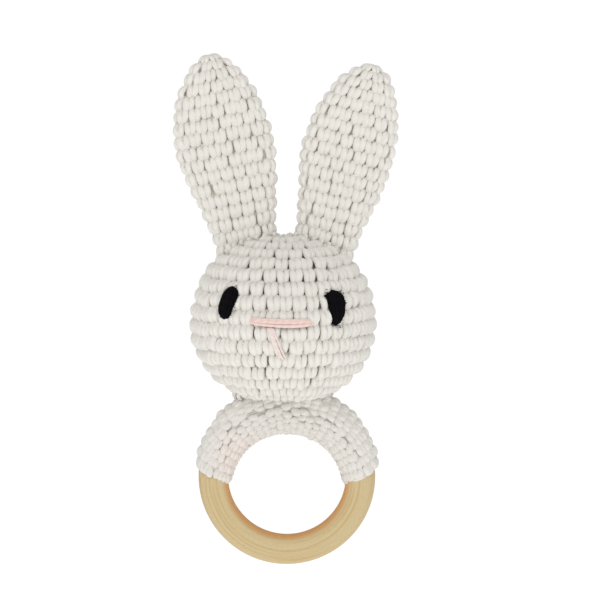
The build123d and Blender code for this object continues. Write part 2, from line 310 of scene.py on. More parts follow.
# Each yarn has a light and a shade colour: the ply grooves are painted in the shade colour and the ridges
# in the light one, as painted shade, and the mix also varies at random by strand and in patches.
CREAM = (0.785, 0.76, 0.71)
CREAM_SHADE = (0.685, 0.66, 0.605)
SLEEVE_CREAM = (0.755, 0.73, 0.685)
SLEEVE_SHADE = (0.66, 0.635, 0.585)
# The faint pink stain on the sleeve: its place in metres, how far it reaches and its colour.
BLUSH = ((-0.0165, -0.004, 0.006), 0.012, (0.83, 0.66, 0.62))
BLUSH_STRENGTH = 0.32
WOOD_LIGHT = (0.59, 0.47, 0.265)
WOOD_DARK = (0.525, 0.375, 0.18)
# Painted shade: the darker orange-brown given to the ring's inner wall.
WOOD_INNER_WALL_SHADE = (0.60, 0.32, 0.12)
GRAIN_STRETCH = (1300.0, 0.5, 700.0)
PORE_STRETCH = (5200.0, 26.0, 4200.0)


def new_material(name):
    """A material with its node tree, Principled shader and a small node maker."""
    material = bpy.data.materials.new(name)
    material.use_nodes = True
    tree = material.node_tree
    shader = tree.nodes["Principled BSDF"]

    def node(kind, inputs=(), **settings):
        made = tree.nodes.new(kind)
        for key, value in settings.items():
            setattr(made, key, value)
        for key, value in dict(inputs).items():
            if isinstance(value, bpy.types.NodeSocket):
                tree.links.new(value, made.inputs[key])
            else:
                made.inputs[key].default_value = value
        return made

    return material, tree, shader, node


def yarn_material(name, light, shade, plies=3.0, twist=2600.0, bump=0.45, fuzz=0.6, sheen=0.2, blush=None):
    """Soft twisted yarn: ply grooves from the tube's own coordinates, fibres, and colour painted darker in
    the ply grooves and lighter on their ridges as painted shade, which also varies at random.

    blush is a faint stain: its place, how far it reaches and its colour.
    """
    material, tree, shader, node = new_material(name)
    yarn = node("ShaderNodeAttribute", attribute_name="yarn")
    strand = node("ShaderNodeAttribute", attribute_name="strand")
    parts = node("ShaderNodeSeparateXYZ", {0: yarn.outputs["Vector"]})
    angle = node("ShaderNodeMath", {0: parts.outputs[1], 1: parts.outputs[0]}, operation="ARCTAN2")
    wound = node("ShaderNodeMath", {0: parts.outputs[2], 1: twist}, operation="MULTIPLY")
    phase = node(
        "ShaderNodeMath", {0: angle.outputs[0], 1: plies, 2: wound.outputs[0]}, operation="MULTIPLY_ADD"
    )
    wave = node("ShaderNodeMath", {0: phase.outputs[0]}, operation="SINE")
    ply = node("ShaderNodeMapRange", {0: wave.outputs[0], 1: -1.0, 2: 1.0, 3: 0.0, 4: 1.0})
    where = node("ShaderNodeTexCoord")
    fibre = node(
        "ShaderNodeTexNoise", {"Vector": where.outputs["Object"], "Scale": 2600.0, "Detail": 3.0}
    )
    patch = node("ShaderNodeTexNoise", {"Vector": where.outputs["Object"], "Scale": 120.0, "Detail": 2.0})
    height = node(
        "ShaderNodeMath", {0: fibre.outputs[0], 1: fuzz, 2: ply.outputs[0]}, operation="MULTIPLY_ADD"
    )
    relief = node("ShaderNodeBump", {"Height": height.outputs[0], "Strength": bump, "Distance": 0.0003})
    tree.links.new(relief.outputs["Normal"], shader.inputs["Normal"])
    # Painted shade: the ply grooves get the shade colour and the ridges the light one; the strand and patch
    # terms vary the colour at random.
    ply_shade_and_tone = node("ShaderNodeMath", {0: ply.outputs[0], 1: 0.35, 2: 0.35}, operation="MULTIPLY_ADD")
    ply_shade_and_tone = node(
        "ShaderNodeMath", {0: strand.outputs["Fac"], 1: 0.25, 2: ply_shade_and_tone.outputs[0]}, operation="MULTIPLY_ADD"
    )
    ply_shade_and_tone = node(
        "ShaderNodeMath", {0: patch.outputs[0], 1: 0.35, 2: ply_shade_and_tone.outputs[0]}, operation="MULTIPLY_ADD",
        use_clamp=True,
    )
    colour = node("ShaderNodeMix", {"Factor": ply_shade_and_tone.outputs[0]}, data_type="RGBA")
    colour.inputs[6].default_value = (*shade, 1)
    colour.inputs[7].default_value = (*light, 1)
    if blush:
        place, reach, tint = blush
        near = node("ShaderNodeVectorMath", {0: where.outputs["Object"], 1: place}, operation="DISTANCE")
        fade = node(
            "ShaderNodeMapRange",
            {0: near.outputs["Value"], 1: 0.25 * reach, 2: reach, 3: BLUSH_STRENGTH, 4: 0.0},
            interpolation_type="SMOOTHSTEP",
        )
        colour = node("ShaderNodeMix", {"Factor": fade.outputs[0], 6: colour.outputs[2]}, data_type="RGBA")
        colour.inputs[7].default_value = (*tint, 1)
    tree.links.new(colour.outputs[2], shader.inputs["Base Color"])
    shader.inputs["Roughness"].default_value = 0.95
    shader.inputs["Specular IOR Level"].default_value = 0.5 * sheen
    shader.inputs["Sheen Weight"].default_value = sheen
    shader.inputs["Sheen Roughness"].default_value = 0.6
    return material


def painted_shade_fibre_material(name, light, shade):
    """Loose fibre fill, coloured darker and more olive than white fibre as painted shade, where it is seen
    between the stitches.
    """
    material, tree, shader, node = new_material(name)
    where = node("ShaderNodeTexCoord")
    clump = node(
        "ShaderNodeTexNoise",
        {"Vector": where.outputs["Object"], "Scale": 900.0, "Detail": 5.0, "Distortion": 1.5},
    )
    colour = node("ShaderNodeMix", {"Factor": clump.outputs[0]}, data_type="RGBA")
    colour.inputs[6].default_value = (*shade, 1)
    colour.inputs[7].default_value = (*light, 1)
    tree.links.new(colour.outputs[2], shader.inputs["Base Color"])
    relief = node("ShaderNodeBump", {"Height": clump.outputs[0], "Strength": 0.6, "Distance": 0.0005})
    tree.links.new(relief.outputs["Normal"], shader.inputs["Normal"])
    shader.inputs["Roughness"].default_value = 1.0
    shader.inputs["Specular IOR Level"].default_value = 0.05
    return material


def wood_material():
    """Turned beech: pale, with fine grain lines that follow the ring, and the inner wall painted browner as
    painted shade.
    """
    material, tree, shader, node = new_material("beech_wood")
    where = node("ShaderNodeTexCoord")
    parts = node("ShaderNodeSeparateXYZ", {0: where.outputs["Object"]})
    flat = node("ShaderNodeCombineXYZ", {0: parts.outputs[0], 1: parts.outputs[2]})
    radius = node("ShaderNodeVectorMath", {0: flat.outputs[0]}, operation="LENGTH")
    angle = node("ShaderNodeMath", {0: parts.outputs[2], 1: parts.outputs[0]}, operation="ARCTAN2")
    rolled = node(
        "ShaderNodeCombineXYZ", {0: radius.outputs["Value"], 1: angle.outputs[0], 2: parts.outputs[1]}
    )
    stretched = node("ShaderNodeVectorMath", {0: rolled.outputs[0], 1: GRAIN_STRETCH}, operation="MULTIPLY")
    grain = node(
        "ShaderNodeTexNoise",
        {"Vector": stretched.outputs[0], "Scale": 1.0, "Detail": 4.0, "Roughness": 0.6},
    )
    pores = node("ShaderNodeVectorMath", {0: rolled.outputs[0], 1: PORE_STRETCH}, operation="MULTIPLY")
    pore = node("ShaderNodeTexNoise", {"Vector": pores.outputs[0], "Scale": 1.0, "Detail": 2.0})
    lines = node("ShaderNodeValToRGB", {0: grain.outputs[0]})
    lines.color_ramp.elements[0].position = 0.36
    lines.color_ramp.elements[0].color = (*WOOD_DARK, 1)
    lines.color_ramp.elements[1].position = 0.50
    lines.color_ramp.elements[1].color = (*WOOD_LIGHT, 1)
    # Painted shade on the inner wall, fading out towards the faces.
    wall, face = RING_INNER_R + 0.1 * MM, RING_INNER_R + 2.4 * MM
    inner = node(
        "ShaderNodeMapRange",
        {0: radius.outputs["Value"], 1: wall, 2: face, 3: 1.0, 4: 0.0},
        interpolation_type="SMOOTHSTEP",
    )
    colour = node("ShaderNodeMix", {"Factor": inner.outputs[0], 6: lines.outputs[0]}, data_type="RGBA")
    colour.inputs[7].default_value = (*WOOD_INNER_WALL_SHADE, 1)
    speck = node("ShaderNodeMapRange", {0: pore.outputs[0], 1: 0.30, 2: 0.42, 3: 0.82, 4: 1.0})
    final = node(
        "ShaderNodeMix", {"Factor": 1.0, 6: colour.outputs[2]}, data_type="RGBA", blend_type="MULTIPLY"
    )
    tree.links.new(speck.outputs[0], final.inputs[7])
    tree.links.new(final.outputs[2], shader.inputs["Base Color"])
    relief = node("ShaderNodeBump", {"Height": pore.outputs[0], "Strength": 0.15, "Distance": 0.0002})
    tree.links.new(relief.outputs["Normal"], shader.inputs["Normal"])
    shader.inputs["Roughness"].default_value = 0.7
    shader.inputs["Specular IOR Level"].default_value = 0.2
    return material


def plain_material(name, colour, roughness, metallic=0.0, scale=900.0, bump=0.08):
    """A smooth moulded or polished surface with faint unevenness."""
    material, tree, shader, node = new_material(name)
    where = node("ShaderNodeTexCoord")
    grain = node("ShaderNodeTexNoise", {"Vector": where.outputs["Object"], "Scale": scale, "Detail": 2.0})
    relief = node("ShaderNodeBump", {"Height": grain.outputs[0], "Strength": bump, "Distance": 0.0001})
    tree.links.new(relief.outputs["Normal"], shader.inputs["Normal"])
    tint = node("ShaderNodeMix", {"Factor": grain.outputs[0]}, data_type="RGBA")
    tint.inputs[6].default_value = (*[0.92 * c for c in colour], 1)
    tint.inputs[7].default_value = (*colour, 1)
    tree.links.new(tint.outputs[2], shader.inputs["Base Color"])
    shader.inputs["Roughness"].default_value = roughness
    shader.inputs["Metallic"].default_value = metallic
    return material


cream = yarn_material("cream_cotton", CREAM, CREAM_SHADE)
sleeve_cream = yarn_material("sleeve_cotton", SLEEVE_CREAM, SLEEVE_SHADE, blush=BLUSH)
black = yarn_material(
    "black_cotton", (0.006, 0.006, 0.007), (0.001, 0.001, 0.001), plies=2.0, bump=0.5, sheen=0.01
)
pink = yarn_material("pink_cotton", (0.84, 0.66, 0.605), (0.72, 0.50, 0.445), plies=2.0)
pale_pink = yarn_material("pale_pink_cotton", (0.82, 0.72, 0.67), (0.75, 0.64, 0.58), plies=2.0)
# Painted shade: the fibre colours below are darker and more olive than the white fill and yarn, so the gaps
# between stitches look shaded.
fill = painted_shade_fibre_material("fibre_fill_painted_shade", (0.62, 0.58, 0.44), (0.36, 0.33, 0.22))
ear_fill_painted_shade = painted_shade_fibre_material("ear_fill_painted_shade", (0.72, 0.69, 0.60), (0.50, 0.47, 0.37))
lining_yarn_painted_shade = painted_shade_fibre_material("lining_yarn_painted_shade", (0.72, 0.69, 0.62), (0.56, 0.53, 0.45))
wood = wood_material()
plastic = plain_material("moulded_plastic", (0.80, 0.82, 0.83), 0.35)
steel = plain_material("polished_steel", (0.60, 0.60, 0.61), 0.15, metallic=1.0, scale=4000.0)

# --- head -----------------------------------------------------------------------------------------

# The head's outline is a superellipse, a little squarer above, which stops short of the neck's middle.
HEAD_CROWN_POWER = 2.2
HEAD_CHIN_POWER = 2.0
HEAD_END_ANGLE = 0.2
HEAD_ROUND_START = 0.13
FACE_OUT = 2.0 * MM
FILL_DEPTH = 1.6 * MM
FILL_LUMP = 0.35 * MM


def head_profile():
    """(distance down from the crown, radius, height) along the middle of the head's cloth."""
    turn = np.linspace(np.pi / 2, HEAD_END_ANGLE - np.pi / 2, 600)
    power = np.where(turn > 0, HEAD_CROWN_POWER, HEAD_CHIN_POWER)
    reach = np.where(turn > 0, HEAD_TOP - HEAD_WIDEST, HEAD_LOWER_SHARE * HEAD_R) - CLOTH_OUT
    radius = (HEAD_R - CLOTH_OUT) * np.abs(np.cos(turn)) ** (2 / power)
    height = HEAD_WIDEST + reach * np.sign(turn) * np.abs(np.sin(turn)) ** (2 / power)
    height = np.maximum(height, HEAD_BOTTOM + 0.85 * CLOTH_OUT)
    down = np.concatenate([[0], np.cumsum(np.hypot(np.diff(radius), np.diff(height)))])
    return down, radius, height


down_table, radius_table, height_table = head_profile()
HEAD_LENGTH = down_table[-1]


def head_place(across, down, out):
    """A point of the head: across is an angle from the face, down is from the crown.

    Above the crown and below the last round, the cloth goes on in a straight line.
    """
    inside = np.clip(down, 0, HEAD_LENGTH)
    radius = np.interp(inside, down_table, radius_table)
    height = np.interp(inside, down_table, height_table)
    after, before = inside + 0.3 * MM, inside - 0.3 * MM
    fall = np.interp(after, down_table, height_table) - np.interp(before, down_table, height_table)
    grow = np.interp(after, down_table, radius_table) - np.interp(before, down_table, radius_table)
    size = np.maximum(np.hypot(fall, grow), 1e-9)
    outward, upward = -fall / size, grow / size
    spare = down - inside
    reach = radius + outward * out + np.where(spare > 0, 0, spare)
    x = HEAD_X + reach * np.sin(across)
    y = -reach * np.cos(across)
    z = height + upward * out - np.where(spare > 0, spare, 0)
    return np.stack(np.broadcast_arrays(x, y, z), axis=-1)


def head_rows():
    """The head's rounds from the crown down."""
    count = round(HEAD_LENGTH / ROW_HEIGHT)
    height = HEAD_LENGTH / count
    rows = []
    for number in range(count):
        top = number * height
        girth = 2 * np.pi * np.interp(top + height / 2, down_table, radius_table)
        stitches = max(6, round(girth / STITCH_WIDTH))
        start = HEAD_ROUND_START * number
        rows.append((top, top + height, start, start + 2 * np.pi, stitches))
    return rows


head = mesh_piece("crochet_head", crochet(head_place, head_rows(), depth=0.9, loose=1.4), cream)
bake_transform(head)
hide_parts("head_cover")


def on_face(x, z, out):
    """Points raised by out over the front of the head at the given places."""
    down = np.interp(-z, -height_table, down_table)
    radius = np.interp(down, down_table, radius_table)
    across = np.arcsin(np.clip((x - HEAD_X) / (radius + FACE_OUT), -0.99, 0.99))
    return head_place(across, down, out)


# The head's fill is coloured as painted shade, for the dark gaps between the stitches.
fill_across, fill_down = np.meshgrid(
    np.linspace(0, 2 * np.pi, 120, endpoint=False), np.linspace(0.8 * MM, HEAD_LENGTH - 2 * MM, 70)
)
lumps = np.sin(9 * fill_across + 800 * fill_down) * np.sin(1100 * fill_down - 5 * fill_across)
fill_rings = head_place(fill_across, fill_down, FILL_LUMP * lumps - FILL_DEPTH)
head_fill = closed_grid("head_fill", fill_rings, fill)
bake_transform(head_fill)
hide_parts("head_stuffing")

# --- face -----------------------------------------------------------------------------------------

THREAD_SUNK = 2.6 * MM
THREAD_END_STEEPNESS = 7


def thread_along(line, radius, out):
    """One embroidery thread along a line of (x, z) places on the face, its ends pulled inside."""
    t = np.linspace(0, 1, len(line))
    near_start = np.clip(1 - t * THREAD_END_STEEPNESS, 0, 1)
    near_end = np.clip(1 - (1 - t) * THREAD_END_STEEPNESS, 0, 1)
    height = out - THREAD_SUNK * (near_start**2 + near_end**2)
    path = on_face(line[:, 0], line[:, 1], height)[None]
    above = on_face(line[:, 0], line[:, 1], height + ABOVE)[None]
    return tubes(path, unit(above - path), np.full((1, len(line)), radius))


def thread(start, end, radius, bow=0.0, out=FACE_OUT, points=12):
    """One embroidery thread over the face from start to end, both (x, z), with a bow to one side."""
    t = np.linspace(0, 1, points)
    start, end = np.array(start), np.array(end)
    line = start + (end - start) * t[:, None]
    normal = np.array([-(end - start)[1], (end - start)[0]])
    line = line + bow * (1 - (2 * t - 1) ** 2)[:, None] * normal / np.linalg.norm(normal)
    return thread_along(line, radius, out)


EYE_THREAD_R = 0.42 * MM
# Each eye's edges on the face, in mm from its upper end: (distance down, left edge, right edge).
EYES = {
    "left": {
        "top": (-18.9, 66.6),
        "edges": (
            (0, -0.5, 1.3),
            (1.5, -1.7, 2.1),
            (4, -2.9, 1.9),
            (7, -3.9, 0.4),
            (9.5, -3.9, -0.5),
            (11.4, -2.5, -1.4),
        ),
    },
    "right": {
        "top": (15.5, 65.3),
        "edges": (
            (0, -1.8, 1.9),
            (1.5, -1.8, 3.2),
            (4.5, -1.3, 4.1),
            (7.5, -0.4, 3.9),
            (9.8, 0.3, 3.2),
            (11.4, 1.3, 2.2),
        ),
    },
}
# Layers of an eye from below: (threads, share of the eye's width, height in mm over the cloth).
EYE_LAYERS = ((10, 1.0, 1.7), (8, 0.84, 2.2), (5, 0.6, 2.6))
EYE_LOOSE_FIBRES = 16
LOOSE_FIBRE_R = 0.08 * MM


def satin_eye(side, eye):
    """An eye of long parallel threads in three layers, with a few loose fibres at its rim."""
    top = np.array(eye["top"])
    down, left, right = np.array(eye["edges"]).T
    parts = []
    for count, share, out in EYE_LAYERS:
        for place in np.linspace(-share, share, count) / 2 + 0.5:
            middle = (left + right) / 2
            edge = left + (right - left) * place
            reach = (1 - 0.9 * (2 * place - 1) ** 2) ** 0.5
            first = (1 - reach) * 0.14 * down[-1] + RNG.normal(0, 0.12)
            last = down[-1] - (1 - reach) * 0.16 * down[-1] + RNG.normal(0, 0.12)
            line_down = np.linspace(max(first, 0), last, 12)
            line_across = np.interp(line_down, down, edge * share + middle * (1 - share))
            line = top + np.stack([line_across, -line_down], axis=-1)
            parts.append(thread_along(line * MM, EYE_THREAD_R, out * MM))
    for _ in range(EYE_LOOSE_FIBRES):
        at = RNG.uniform(0, down[-1])
        rim, way = (left, -1) if RNG.random() < 0.5 else (right, 1)
        base = top + (np.interp(at, down, rim) - 0.2 * way, -at)
        tip = base + (way * RNG.uniform(0.3, 0.8), RNG.normal(0, 0.6))
        parts.append(thread(base * MM, tip * MM, LOOSE_FIBRE_R, out=RNG.uniform(1.8, 2.4) * MM, points=5))
    piece = mesh_piece(f"embroidered_eye_{side}", parts, black)
    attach(piece, "head")
    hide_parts(f"{side}_eye")


for side, eye in EYES.items():
    satin_eye(side, eye)

# Each long stitch, in mm on the face: start, end and how far it bows to one side.
NOSE_THREADS = (
    ((-13.7, 56.5), (9.6, 56.0), -0.2),
    ((-14.0, 56.0), (9.9, 55.5), -0.6),
    ((-13.7, 55.4), (9.6, 54.9), -0.9),
    ((-13.1, 55.8), (9.2, 54.6), -1.1),
    ((-13.3, 56.2), (9.7, 55.8), -0.4),
)
MOUTH_THREADS = (
    ((-6.6, 54.0), (-2.9, 44.2), 0.2),
    ((-6.0, 54.2), (-2.0, 43.4), -0.1),
    ((-5.4, 54.2), (-0.9, 43.1), -0.3),
    ((-4.9, 54.1), (-0.2, 43.6), -0.1),
)
NOSE_THREAD_R = 0.48 * MM
MOUTH_THREAD_R = 0.42 * MM


def long_stitches(name, node, threads, radius, material):
    """A group of long stitches over the face, one node of embroidery."""
    parts = []
    for number, (start, end, bow) in enumerate(threads):
        out = FACE_OUT + 0.3 * MM + 0.12 * MM * (number % 3)
        start, end = np.array(start) * MM, np.array(end) * MM
        parts.append(thread(start, end, radius, bow=bow * MM, out=out, points=20))
    piece = mesh_piece(name, parts, material)
    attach(piece, "head")
    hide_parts(node)


long_stitches("embroidered_nose", "nose_stitches", NOSE_THREADS, NOSE_THREAD_R, pink)
long_stitches("embroidered_mouth", "mouth_stitches", MOUTH_THREADS, MOUTH_THREAD_R, pale_pink)

# --- ears -----------------------------------------------------------------------------------------

# The cloth's middle lies EAR_CLOTH_OUT inside the outline; each round is EAR_ROW high.
EAR_CLOTH_OUT = 1.6 * MM
EAR_HALF_THICKNESS = 2.5 * MM
EAR_ROW = 4.3 * MM
EAR_STITCH = 4.1 * MM
# The ear starts EAR_BASE_DROP below its fold and goes on inside the head.
EAR_SINK = 9.0 * MM
EAR_BASE_DROP = 5.4 * MM
EAR_LEG_RADIUS = 1.44 * MM
EAR_PAD_DEPTH = 0.6 * MM
EAR_PAD_LUMP = 0.2 * MM
# In degrees: where the tip lies as seen from the hinge, and how the ear leans along its length.
EAR_LEANS = {"left": (-10.2, -11.1), "right": (15.2, 15.2)}
# Half of the ear's greatest width in mm, and the share of it that is left at the base.
EAR_WIDTHS = {"left": (17.0, 0.58), "right": (16.0, 0.63)}
# In mm: how far the middle bows sideways, and how far the tip bends back, or forwards below zero.
EAR_BOWS = {"left": -0.9, "right": -0.5}
EAR_BENDS = {"left": 2.5, "right": -1.5}
EAR_TIP_RISE = 0.4 * MM
# The outline above the widest place, that place as a share of the length, and the base's taper.
EAR_SHAPE_POWER = 0.62
EAR_WIDEST = 0.52
EAR_NECK = 0.08
EAR_ROUND_START = 0.021


class Ear:
    """The surface of one ear: a flat tube, closed and rounded at the tip."""

    def __init__(self, side):
        hinge = np.array(JOINTS[f"{side}_ear_fold"]["pos_m"])
        cad_lean, lean = np.radians(EAR_LEANS[side])
        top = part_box(f"{side}_ear_cover")[1].z
        reach = (top + EAR_TIP_RISE - hinge[2]) / math.cos(cad_lean)
        tip = hinge + reach * np.array([math.sin(cad_lean), 0, math.cos(cad_lean)])
        self.up = np.array([math.sin(lean), 0, math.cos(lean)])
        self.wide = np.array([math.cos(lean), 0, -math.sin(lean)])
        self.length = reach + EAR_BASE_DROP
        self.base = tip - self.length * self.up
        self.bend = EAR_BENDS[side] * MM
        self.bow = EAR_BOWS[side] * MM
        half, base_share = EAR_WIDTHS[side]
        half = half * MM - EAR_CLOTH_OUT
        length = self.length - EAR_CLOTH_OUT
        x = 1 - np.linspace(0, 1, 300) ** 2
        crown = EAR_WIDEST + (1 - EAR_WIDEST) * x
        above = (1 - x * x) ** EAR_SHAPE_POWER
        below = np.linspace(EAR_WIDEST, -EAR_SINK / length, 300)[1:]
        lower = base_share + (1 - base_share) * smooth((below + EAR_NECK) / (EAR_WIDEST + EAR_NECK))
        self.height = np.concatenate([crown, below]) * length
        self.half = np.concatenate([above, lower]) * half
        steps = np.hypot(np.diff(self.half), np.diff(self.height))
        self.down = np.concatenate([[0], np.cumsum(steps)])
        rounding = np.clip(1 - self.down / (2 * EAR_HALF_THICKNESS), 0, 1)
        self.thick = np.minimum(EAR_HALF_THICKNESS * np.sqrt(1 - rounding**2), self.half)

    def girth(self, down):
        """Length round the ear at a distance down from the tip."""
        half, thick = np.interp(down, self.down, self.half), np.interp(down, self.down, self.thick)
        return 4 * (half - thick) + 2 * np.pi * thick

    def place(self, across, down, out):
        """A point of the ear: across is a share of its girth, down is from the tip."""
        across, down, out = np.broadcast_arrays(across, down, out)
        inside = np.clip(down, 0, self.down[-1])
        half = np.interp(inside, self.down, self.half)
        thick = np.interp(inside, self.down, self.thick)
        height = np.interp(inside, self.down, self.height)
        step = 0.4 * MM
        rates = []
        for table in (self.half, self.thick, self.height):
            ahead = np.interp(inside + step, self.down, table)
            behind = np.interp(inside - step, self.down, table)
            rates.append((ahead - behind) / (2 * step))
        # Round the ear: half of the front, the right edge, the back, the left edge, half of the front.
        flat = half - thick
        girth = 4 * flat + 2 * np.pi * thick
        along = (across % 1.0) * girth
        arc = np.pi * thick
        safe = np.maximum(thick, 1e-6)
        right = (along - flat) / safe - np.pi / 2
        left = (along - 3 * flat - arc) / safe + np.pi / 2
        cases = [along < flat, along < flat + arc, along < 3 * flat + arc, along < 3 * flat + 2 * arc]
        sides = [
            along,
            flat + thick * np.cos(right),
            2 * flat + arc - along,
            thick * np.cos(left) - flat,
        ]
        u = np.select(cases, sides, along - girth)
        v = np.select(cases, [-thick, thick * np.sin(right), thick, thick * np.sin(left)], -thick)
        nu = np.select(cases, [0 * u, np.cos(right), 0 * u, np.cos(left)], 0.0)
        nv = np.select(cases, [0 * u - 1, np.sin(right), 0 * u + 1, np.sin(left)], -1.0)
        rise = nu * nu * rates[0] + nv * nv * rates[1]
        normal = (
            (-rates[2] * nu)[..., None] * self.wide
            + (-rates[2] * nv)[..., None] * np.array([0, 1, 0])
            + rise[..., None] * self.up
        )
        bend = self.bend * (height / self.length) ** 2
        bow = self.bow * np.sin(np.pi * np.clip(height / self.length, 0, 1) ** 1.5) ** 2
        point = (
            self.base
            + (u + bow)[..., None] * self.wide
            + height[..., None] * self.up
            + (v + bend)[..., None] * np.array([0, 1, 0])
        )
        return point + unit(normal) * out[..., None]

    def rows(self):
        """The ear's rounds from the tip to inside the head."""
        count = round(self.down[-1] / EAR_ROW)
        height = self.down[-1] / count
        rows = []
        for number in range(count):
            top = number * height
            stitches = max(5, round(self.girth(top + height / 2) / EAR_STITCH))
            start = EAR_ROUND_START * number
            rows.append((top, top + height, start, start + 1, stitches))
        return rows

    def pad(self, name):
        """The thin pad inside the ear."""
        across, down = np.meshgrid(
            np.linspace(0, 1, 60, endpoint=False), np.linspace(1 * MM, self.down[-1] - 4 * MM, 50)
        )
        lumps = EAR_PAD_LUMP * np.sin(19 * across + 900 * down)
        # The pad's colour is painted shade, darker than white fibre, for the gaps between the ear's
        # stitches.
        return closed_grid(name, self.place(across, down, lumps - EAR_PAD_DEPTH), ear_fill_painted_shade)


EAR_SURFACES = {side: Ear(side) for side in ("left", "right")}
for side, ear in EAR_SURFACES.items():
    stitches = crochet(ear.place, ear.rows(), leg=EAR_LEG_RADIUS, depth=0.8, loose=1.15)
    cover = mesh_piece(f"crochet_ear_{side}", stitches, cream)
    pad = ear.pad(f"ear_pad_{side}")
    for piece, node, slot in ((cover, "cover", "cream_crochet"), (pad, "padding", "polyester_fibre")):
        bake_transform(piece)
        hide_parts(f"{side}_ear_{node}")

# --- sleeve ---------------------------------------------------------------------------------------

SLEEVE_ROWS = 25
SLEEVE_STITCHES = 12
SLEEVE_OUTER = 5.5 * MM
SLEEVE_SIDE = 5.5 * MM
SLEEVE_LINING_DEPTH = 0.2 * MM
SLEEVE_LEG_RADIUS = 1.45 * MM
SLEEVE_LOOP_RADIUS = 1.15 * MM
SLEEVE_INNER_SIDE = 5.6 * MM
SLEEVE_INNER_TOP = 9.6 * MM
# In degrees below the ring's middle: where the sleeve ends half way round, and how much that slants.
SLEEVE_END = (0.4, 6.1)
SLEEVE_SQUARE = 0.85
SLEEVE_STEP = 0.01


def sleeve_surface(across, down):
    """The sleeve's cloth: across is a share round the tube, down runs from its left to its right end."""
    turn = 2 * np.pi * across
    inwards = np.cos(turn)
    end = np.radians(SLEEVE_END[0] + SLEEVE_END[1] * inwards)
    angle = np.pi - end - down * (np.pi - 2 * end)
    sag = SLEEVE_INNER_SIDE + (SLEEVE_INNER_TOP - SLEEVE_INNER_SIDE) * np.clip(np.sin(angle), 0, 1)
    reach = np.where(inwards > 0, SLEEVE_OUTER, sag)
    radial = RING_MID_R + reach * np.sign(inwards) * np.abs(inwards) ** SLEEVE_SQUARE
    sideways = -SLEEVE_SIDE * np.sign(np.sin(turn)) * np.abs(np.sin(turn)) ** SLEEVE_SQUARE
    sideways = sideways * np.where(inwards > 0, 1, 1 - 0.25 * inwards**2)
    return np.stack([radial * np.cos(angle), sideways, radial * np.sin(angle)], axis=-1)


def sleeve_place(across, down, out):
    """A point raised by out over the sleeve's cloth."""
    across, down, out = np.broadcast_arrays(across, down, out)
    step = SLEEVE_STEP
    round_step = sleeve_surface(across + step, down) - sleeve_surface(across - step, down)
    down_step = sleeve_surface(across, down + step) - sleeve_surface(across, down - step)
    return sleeve_surface(across, down) + unit(np.cross(round_step, down_step)) * out[..., None]


sleeve_rows = [
    (row / SLEEVE_ROWS, (row + 1) / SLEEVE_ROWS, 0.03 * row, 0.03 * row + 1, SLEEVE_STITCHES)
    for row in range(SLEEVE_ROWS)
]
sleeve_stitches = crochet(
    sleeve_place,
    sleeve_rows,
    leg=SLEEVE_LEG_RADIUS,
    loop=SLEEVE_LOOP_RADIUS,
    flat=0.68,
    depth=0.42,
    loose=1.3,
    least=0.9,
    turned=True,
)
sleeve = mesh_piece("crochet_sleeve", sleeve_stitches, sleeve_cream)
# The sleeve's lining is coloured darker than its white yarn, as painted shade seen in the gaps between
# stitches.
lining_across, lining_down = np.meshgrid(
    np.linspace(0, 1, 48, endpoint=False), np.linspace(0.012, 0.988, 90)
)
lining_rings = sleeve_place(lining_across, lining_down, -SLEEVE_LINING_DEPTH)
lining = closed_grid("sleeve_lining", lining_rings, lining_yarn_painted_shade)
for piece in (sleeve, lining):
    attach(piece, "sleeve")
    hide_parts("ring_sleeve")

# --- seams ----------------------------------------------------------------------------------------

STITCH_FLAT = 0.85
STITCH_END_SUNK = 0.6 * MM
STITCH_POINTS = 7
STITCH_RISE = 0.9 * MM
SLEEVE_SEAM_STITCHES = 34
SLEEVE_SEAM_YARN_R = 0.55 * MM
SLEEVE_SEAM_RISE = 0.3 * MM
# Half of a sleeve seam's stitch, as a share of the way round the sleeve and of its length.
SLEEVE_SEAM_REACH = 0.03
SLEEVE_SEAM_SLANT = 0.018
NECK_SEAM_STITCHES = 24
NECK_SEAM_YARN_R = 0.75 * MM
NECK_SEAM_HALVES = np.array([15.2, 6.4, 0]) * MM
NECK_SEAM_HEIGHT = 3 * MM
NECK_SEAM_SLANT = 0.08
EAR_SEAM_STITCHES = 16
EAR_SEAM_YARN_R = 0.8 * MM
EAR_SEAM_STEPS = 160
# How far above the ear's end the seam is looked for, and how far its stitches reach over the ear.
EAR_SEAM_SEARCH = 14 * MM
EAR_SEAM_REACH = 2.2 * MM


def whip_stitches(name, node, lines, radius):
    """Short sewing stitches, each along its own line of points with the way out of the cloth."""
    parts = []
    for path, away in lines:
        parts.append(tubes(path[None], unit(away)[None], np.full((1, len(path)), radius), STITCH_FLAT))
    piece = mesh_piece(name, parts, cream)
    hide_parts(node)
    return piece


def arched(start, end, away, rise):
    """A stitch from start to end that arches away from the cloth."""
    t = np.linspace(0, 1, STITCH_POINTS)[:, None]
    lift = rise * np.sin(np.pi * t) - STITCH_END_SUNK * (2 * t - 1) ** 2
    return start + (end - start) * t + unit(away) * lift, np.tile(unit(away), (STITCH_POINTS, 1))


def sleeve_seam_lines():
    """Slanting stitches along the inner side of the ring, where the sleeve's edges meet."""
    lines = []
    for number in range(SLEEVE_SEAM_STITCHES):
        down = 0.03 + 0.94 * (number + 0.5) / SLEEVE_SEAM_STITCHES
        start, end = (
            sleeve_place(
                np.array(0.5 + way * SLEEVE_SEAM_REACH),
                np.array(down + way * SLEEVE_SEAM_SLANT),
                STITCH_END_SUNK,
            )
            for way in (-1, 1)
        )
        inwards = (start + end) / 2 * np.array([-1, 0, -1])
        lines.append(arched(start, end, inwards, SLEEVE_SEAM_RISE))
    return lines


